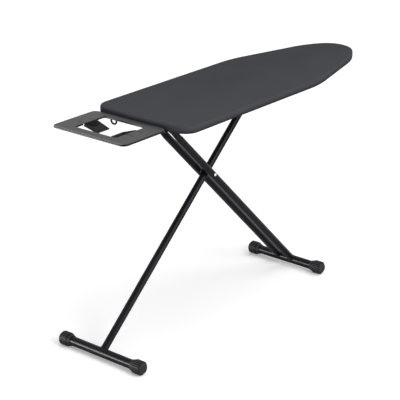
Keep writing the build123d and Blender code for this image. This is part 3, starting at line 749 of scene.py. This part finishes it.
def grained(name, dark, light, rough, grain, strength, gloss, patch=9.0, metal=0.0, cast=(1.0, 1.0, 1.0)):
    """A finish with a grain in its bump and slow patches in its colour and roughness."""
    material, tree, shader = new_finish(name)
    place = place_on(tree)
    fine = speckle(tree, place, scale=grain, detail=3.0)
    slow = speckle(tree, place, scale=patch, detail=4.0)
    both = reckon(tree, "MULTIPLY_ADD", fine, grain_share, slow)
    tone = two_tones(tree, both, dark, light, start=0.45, end=0.95)
    wear_range = {"From Min": 0.3, "From Max": 0.7, "To Min": rough[0], "To Max": rough[1]}
    wear = add_node(tree, "ShaderNodeMapRange", {"Value": slow, **wear_range})
    tree.links.new(tone, shader.inputs["Base Color"])
    tree.links.new(wear.outputs["Result"], shader.inputs["Roughness"])
    rough_up(tree, shader, fine, strength, peel_depth)
    shader.inputs["Specular IOR Level"].default_value = gloss
    shader.inputs["Specular Tint"].default_value = (*cast, 1)
    shader.inputs["Metallic"].default_value = metal
    return material


def moulded(name):
    """Black plastic with a spark-eroded grain."""
    return grained(
        name,
        dark=(0.0325, 0.0315, 0.0365),
        light=(0.0515, 0.0500, 0.0570),
        rough=(0.50, 0.60),
        grain=1500.0,
        strength=0.25,
        gloss=0.08,
        cast=cool_cast,
    )


finishes = {
    "black_paint": grained(
        "satin_black_paint",
        dark=(0.0050, 0.0047, 0.0060),
        light=(0.0105, 0.0100, 0.0125),
        rough=(0.26, 0.34),
        grain=700.0,
        strength=0.10,
        gloss=0.09,
        cast=cool_cast,
    ),
    "rest_paint": grained(
        "iron_rest_paint",
        dark=(0.033, 0.033, 0.0345),
        light=(0.053, 0.053, 0.0555),
        rough=(0.34, 0.44),
        grain=650.0,
        strength=0.24,
        gloss=0.12,
    ),
    "black_plastic": moulded("moulded_plastic"),
    "bright_steel": grained(
        "zinc_plated_steel",
        dark=(0.62, 0.62, 0.61),
        light=(0.82, 0.82, 0.81),
        rough=(0.38, 0.50),
        grain=600.0,
        strength=0.08,
        gloss=0.50,
        patch=60.0,
        metal=1.0,
    ),
}
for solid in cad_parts.values():
    slot = solid.data.materials[0].name
    if slot in finishes:
        solid.material_slots[0].material = finishes[slot]
print("finishes:", sorted(finishes))

# %% [markdown]
# A pale line beside the bend of the heel edge, broken up by noise, is a painted highlight. The
# rim below is painted shade, and round the near corner it is painted near-black. Painted shade also
# darkens the walls of the cut-out and the slits. The direction of the surface tells flat from bend
# and wall: its upright part is one on the flat, nought on a wall and between the two on a bend.

# %% Edges of the iron rest
# Painted highlight line, painted shade on the rim and on the walls of the cut-out and slits, and a
# near-black near corner.
highlight_line_tone = (0.34, 0.34, 0.35)
rim_shade_tone = (0.010, 0.010, 0.0105)
corner_tone = (0.0008, 0.0008, 0.0008)
gap_wall_shade_tone = (0.006, 0.006, 0.006)
rest_border = 0.004
highlight_line_start, highlight_line_end, highlight_line_fade = 0.0010, 0.0060, 0.0008
bend_facing, flat_facing = 0.75, 0.9
wall_facing, wall_bend = 0.1, 0.35
corner_from, corner_full = -0.3, -0.45


def reckon_vector(tree, operation, *values):
    """One sum on vectors. It gives a number where it measures something."""
    node = add_node(tree, "ShaderNodeVectorMath", dict(enumerate(values)), operation=operation)
    measures = operation in ("DISTANCE", "DOT_PRODUCT", "LENGTH")
    return node.outputs["Value" if measures else "Vector"]


rest_low, rest_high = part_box("iron_rest_plate")
rest_mid = (rest_low + rest_high) / 2
rest_finish = finishes["rest_paint"]
tree = rest_finish.node_tree
here = place_on(tree)
here_parts = parts_of(tree, here)
facing = parts_of(tree, add_node(tree, "ShaderNodeTexCoord").outputs["Normal"])
upright = reckon(tree, "ABSOLUTE", facing["Z"])
bend_mark = ramp_mark(tree, upright, flat_facing, bend_facing)
highlight_line_marks = [
    speckle(tree, here, scale=45.0, detail=3.0),
    ramp_mark(tree, facing["Z"], bend_facing, flat_facing),
    ramp_mark(tree, here_parts["X"], rest_low.x + highlight_line_start, rest_low.x + highlight_line_start + highlight_line_fade),
    ramp_mark(tree, here_parts["X"], rest_low.x + highlight_line_end, rest_low.x + highlight_line_end - highlight_line_fade),
]
corner_marks = [bend_mark]
for axis in ("X", "Y"):
    corner_marks.append(ramp_mark(tree, facing[axis], corner_from, corner_full))
away = reckon_vector(tree, "SUBTRACT", here, rest_mid)
reach = parts_of(tree, reckon_vector(tree, "ABSOLUTE", away))
wall_marks = [ramp_mark(tree, upright, wall_bend, wall_facing)]
for axis, half in (("X", rest_high.x - rest_mid.x), ("Y", rest_high.y - rest_mid.y)):
    wall_marks.append(ramp_mark(tree, reach[axis], half - rest_border, half - 2 * rest_border))
# Paint the shade on the rim, the near-black corner, the highlight line and the shade on the walls of the
# cut-out and slits.
paint_over(rest_finish, [bend_mark], rim_shade_tone)
paint_over(rest_finish, corner_marks, corner_tone)
paint_over(rest_finish, highlight_line_marks, highlight_line_tone)
paint_over(rest_finish, wall_marks, gap_wall_shade_tone)
print("iron rest: painted highlight line", highlight_line_tone, "and dark rim", rim_shade_tone)

# %% [markdown]
# Each sleeve has a raised arc that keeps the hot sole off the silicone. The arc is painted darker,
# and so is the field inside it. The arc is the only part above the sleeve's slanting upper face, so
# the distance from that face marks it, and the distance from the arc's middle marks the field. The
# slope of the face is the tongue's: how far it runs and how far it drops.

# %% Arcs on the sleeves
tongue_run, tongue_drop = 0.057, 0.019
cut_half_width = 0.0875
sleeve_face = 0.0017
arc_mid, arc_r = 0.0097, 0.0207
arc_low, arc_high = 0.0001, 0.0004
field_edge = 0.001
arc_tone = (0.004, 0.004, 0.0045)
field_tone = (0.012, 0.012, 0.013)
for side, label in ((-1, "near"), (1, "far")):
    sleeve_finish = grained(
        "silicone_" + label,
        dark=(0.019, 0.019, 0.0205),
        light=(0.031, 0.031, 0.033),
        rough=(0.80, 0.90),
        grain=1300.0,
        strength=0.15,
        gloss=0.02,
    )
    tree = sleeve_finish.node_tree
    here = place_on(tree)
    root = Vector((rest_mid.x, rest_mid.y + side * cut_half_width, rest_high.z))
    face_up = Vector((0, -side * tongue_drop, tongue_run)).normalized()
    height = reckon_vector(tree, "DOT_PRODUCT", reckon_vector(tree, "SUBTRACT", here, root), face_up)
    middle = root + Vector((0, -side * tongue_run, -tongue_drop)).normalized() * arc_mid
    radius = reckon_vector(tree, "DISTANCE", here, middle)
    field_mark = ramp_mark(tree, radius, arc_r, arc_r - field_edge)
    arc_mark = ramp_mark(tree, height, sleeve_face + arc_low, sleeve_face + arc_high)
    paint_over(sleeve_finish, [field_mark], field_tone)
    paint_over(sleeve_finish, [arc_mark], arc_tone)
    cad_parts["rest_sleeve_" + label].material_slots[0].material = sleeve_finish
print("sleeves with a dark arc:", 2)

# %% [markdown]
# The foot caps are ribbed lengthwise. Their colour carries painted light on the tops of the ribs
# and painted shade in the grooves. A cap is round about its bar, so the distance from the bar's axis
# tells rib from groove. The table gives some distances and how light the plastic is painted there.

# %% Ribbed foot caps
# Painted shade in the grooves and painted light on the rib tops: a distance from the axis and a factor on
# the colour.
groove_tones = ((0.0190, 0.75), (0.0206, 0.75), (0.0211, 0.15), (0.0219, 0.20), (0.0234, 1.30))


def ribbed_cap(name, bar):
    """Moulded plastic whose tone, a painted light and shade, follows the distance from the bar's axis."""
    material = moulded(name)
    tree = material.node_tree
    shader = tree.nodes["Principled BSDF"]
    low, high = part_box(bar)
    offset = reckon_vector(tree, "SUBTRACT", place_on(tree), (low + high) / 2)
    radius = reckon_vector(tree, "LENGTH", reckon_vector(tree, "MULTIPLY", offset, (1, 0, 1)))
    inner, outer = groove_tones[0][0], groove_tones[-1][0]
    ramp = add_node(tree, "ShaderNodeValToRGB", {"Fac": ramp_mark(tree, radius, inner, outer)})
    for _ in groove_tones[2:]:
        ramp.color_ramp.elements.new(0.5)
    for element, (size, tone) in zip(ramp.color_ramp.elements, groove_tones):
        element.position = (size - inner) / (outer - inner)
        element.color = (tone, tone, tone, 1)
    plain = shader.inputs["Base Color"].links[0].from_socket
    toned = reckon_vector(tree, "MULTIPLY", plain, ramp.outputs["Color"])
    tree.links.new(toned, shader.inputs["Base Color"])
    return material


for leg in ("single", "twin"):
    cap_finish = ribbed_cap("ribbed_cap_" + leg, leg + "_foot_bar")
    for side in ("near", "far"):
        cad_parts[f"{leg}_foot_cap_{side}"].material_slots[0].material = cap_finish
print("ribbed caps:", 4)

# %% [markdown]
# ## Weld beads
# Each leg stands on its foot bar in a ring of weld that the paint has covered. Where two tubes of
# different size meet, the ring is a saddle: for each angle round the leg, the height over the bar's
# axis follows from both radii. A closed NURBS curve with a swelling radius gives the ripples.

# %% Weld beads round the feet of the legs
bead_r = 0.0023
bead_points = 48
bead_swell, bead_wander, wander_scale = 0.16, 0.12, 90.0


def saddle(bar, leg):
    """Points of the line where a leg meets its foot bar."""
    bar_low, bar_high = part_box(bar)
    leg_low, leg_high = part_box(leg)
    foot = (bar_low + bar_high) / 2
    foot.y = (leg_low.y + leg_high.y) / 2
    crossing = sum(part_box("cross_bolt"), Vector()) / 2
    crossing.y = foot.y
    up = (crossing - foot).normalized()
    side = Vector((0, 1, 0))
    out = up.cross(side)
    bar_r = (bar_high.z - bar_low.z) / 2
    leg_r = (leg_high.y - leg_low.y) / 2
    points = []
    for index in range(bead_points):
        turn = 2 * math.pi * index / bead_points
        across = leg_r * math.cos(turn)
        rise = math.sqrt(bar_r**2 - across**2)
        points.append(foot + up * rise + out * across + side * (leg_r * math.sin(turn)))
    return points


def weld_bead(name, bar, leg, body):
    """A rippled bead along the saddle, turned into a mesh."""
    curve = bpy.data.curves.new(name + "_path", "CURVE")
    curve.dimensions = "3D"
    curve.bevel_depth = bead_r
    curve.bevel_resolution = 3
    curve.resolution_u = 4
    path = curve.splines.new("NURBS")
    path.points.add(bead_points - 1)
    for index, (point, place) in enumerate(zip(path.points, saddle(bar, leg))):
        ripple = bead_swell * math.cos(math.pi * index)
        point.co = (*place, 1)
        point.radius = 1.0 + ripple + bead_wander * noise.noise(place * wander_scale)
    path.use_cyclic_u = True
    holder = bpy.data.objects.new(name + "_path", curve)
    shape = bmesh.new()
    shape.from_mesh(bpy.data.meshes.new_from_object(holder))
    bpy.data.objects.remove(holder)
    bead = piece_from(shape, name, finishes["black_paint"], body)


weld_bead("weld_single", "single_foot_bar", "single_leg", "single_leg")
weld_bead("weld_twin_near", "twin_foot_bar", "twin_leg_near", "twin_leg")
weld_bead("weld_twin_far", "twin_foot_bar", "twin_leg_far", "twin_leg")

# %% [markdown]
# ## Coat of the hanging loop
# The wire loop under the iron rest is dipped in black vinyl, so that it does not scratch the hook.
# The wire's own size is read from its solid. A disc is pushed down one side, spun round the bend
# and pushed up the other, which keeps the coat evenly thick.

# %% Hanging loop: vinyl coat
coat_t = 0.0009
coat_from_plate = 0.0015
coat_sides, bend_steps = 16, 18
loop_low, loop_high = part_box("hang_loop")
wire_r = (loop_high.x - loop_low.x) / 2
loop_mid = (loop_low + loop_high) / 2
loop_half = (loop_high.y - loop_low.y) / 2 - wire_r
bend_z = loop_low.z + wire_r + loop_half
coat_top = loop_high.z - coat_from_plate


def push_disc(shape, disc, height):
    """Extrude a disc up or down, and give the disc at the new end."""
    grown = bmesh.ops.extrude_face_region(shape, geom=[disc])["geom"]
    rim = [v for v in grown if isinstance(v, bmesh.types.BMVert)]
    bmesh.ops.translate(shape, verts=rim, vec=(0, 0, height))
    return next(f for f in grown if isinstance(f, bmesh.types.BMFace))


coat = bmesh.new()
coat_start = Matrix.Translation((loop_mid.x, loop_mid.y - loop_half, coat_top))
bmesh.ops.create_circle(coat, cap_ends=True, segments=coat_sides, radius=wire_r + coat_t, matrix=coat_start)
coat.faces.ensure_lookup_table()
disc = push_disc(coat, coat.faces[0], bend_z - coat_top)
bend = bmesh.ops.spin(
    coat,
    geom=[disc, *disc.edges, *disc.verts],
    cent=(loop_mid.x, loop_mid.y, bend_z),
    axis=(1, 0, 0),
    angle=math.pi,
    steps=bend_steps,
    use_duplicate=False,
)
disc = next(f for f in bend["geom_last"] if isinstance(f, bmesh.types.BMFace))
push_disc(coat, disc, coat_top - bend_z)
open_end = [e for e in coat.edges if len(e.link_faces) == 1]
bmesh.ops.contextual_create(coat, geom=open_end)
bmesh.ops.recalc_face_normals(coat, faces=coat.faces[:])
vinyl = grained(
    "vinyl_dip",
    dark=(0.0050, 0.0050, 0.0056),
    light=(0.0095, 0.0095, 0.0105),
    rough=(0.55, 0.68),
    grain=800.0,
    strength=0.10,
    gloss=0.03,
)
loop_coat = piece_from(coat, "loop_coat", vinyl, "board")
print("coat reaches from", round(coat_top, 4), "down to", round(loop_low.z - coat_t, 4))
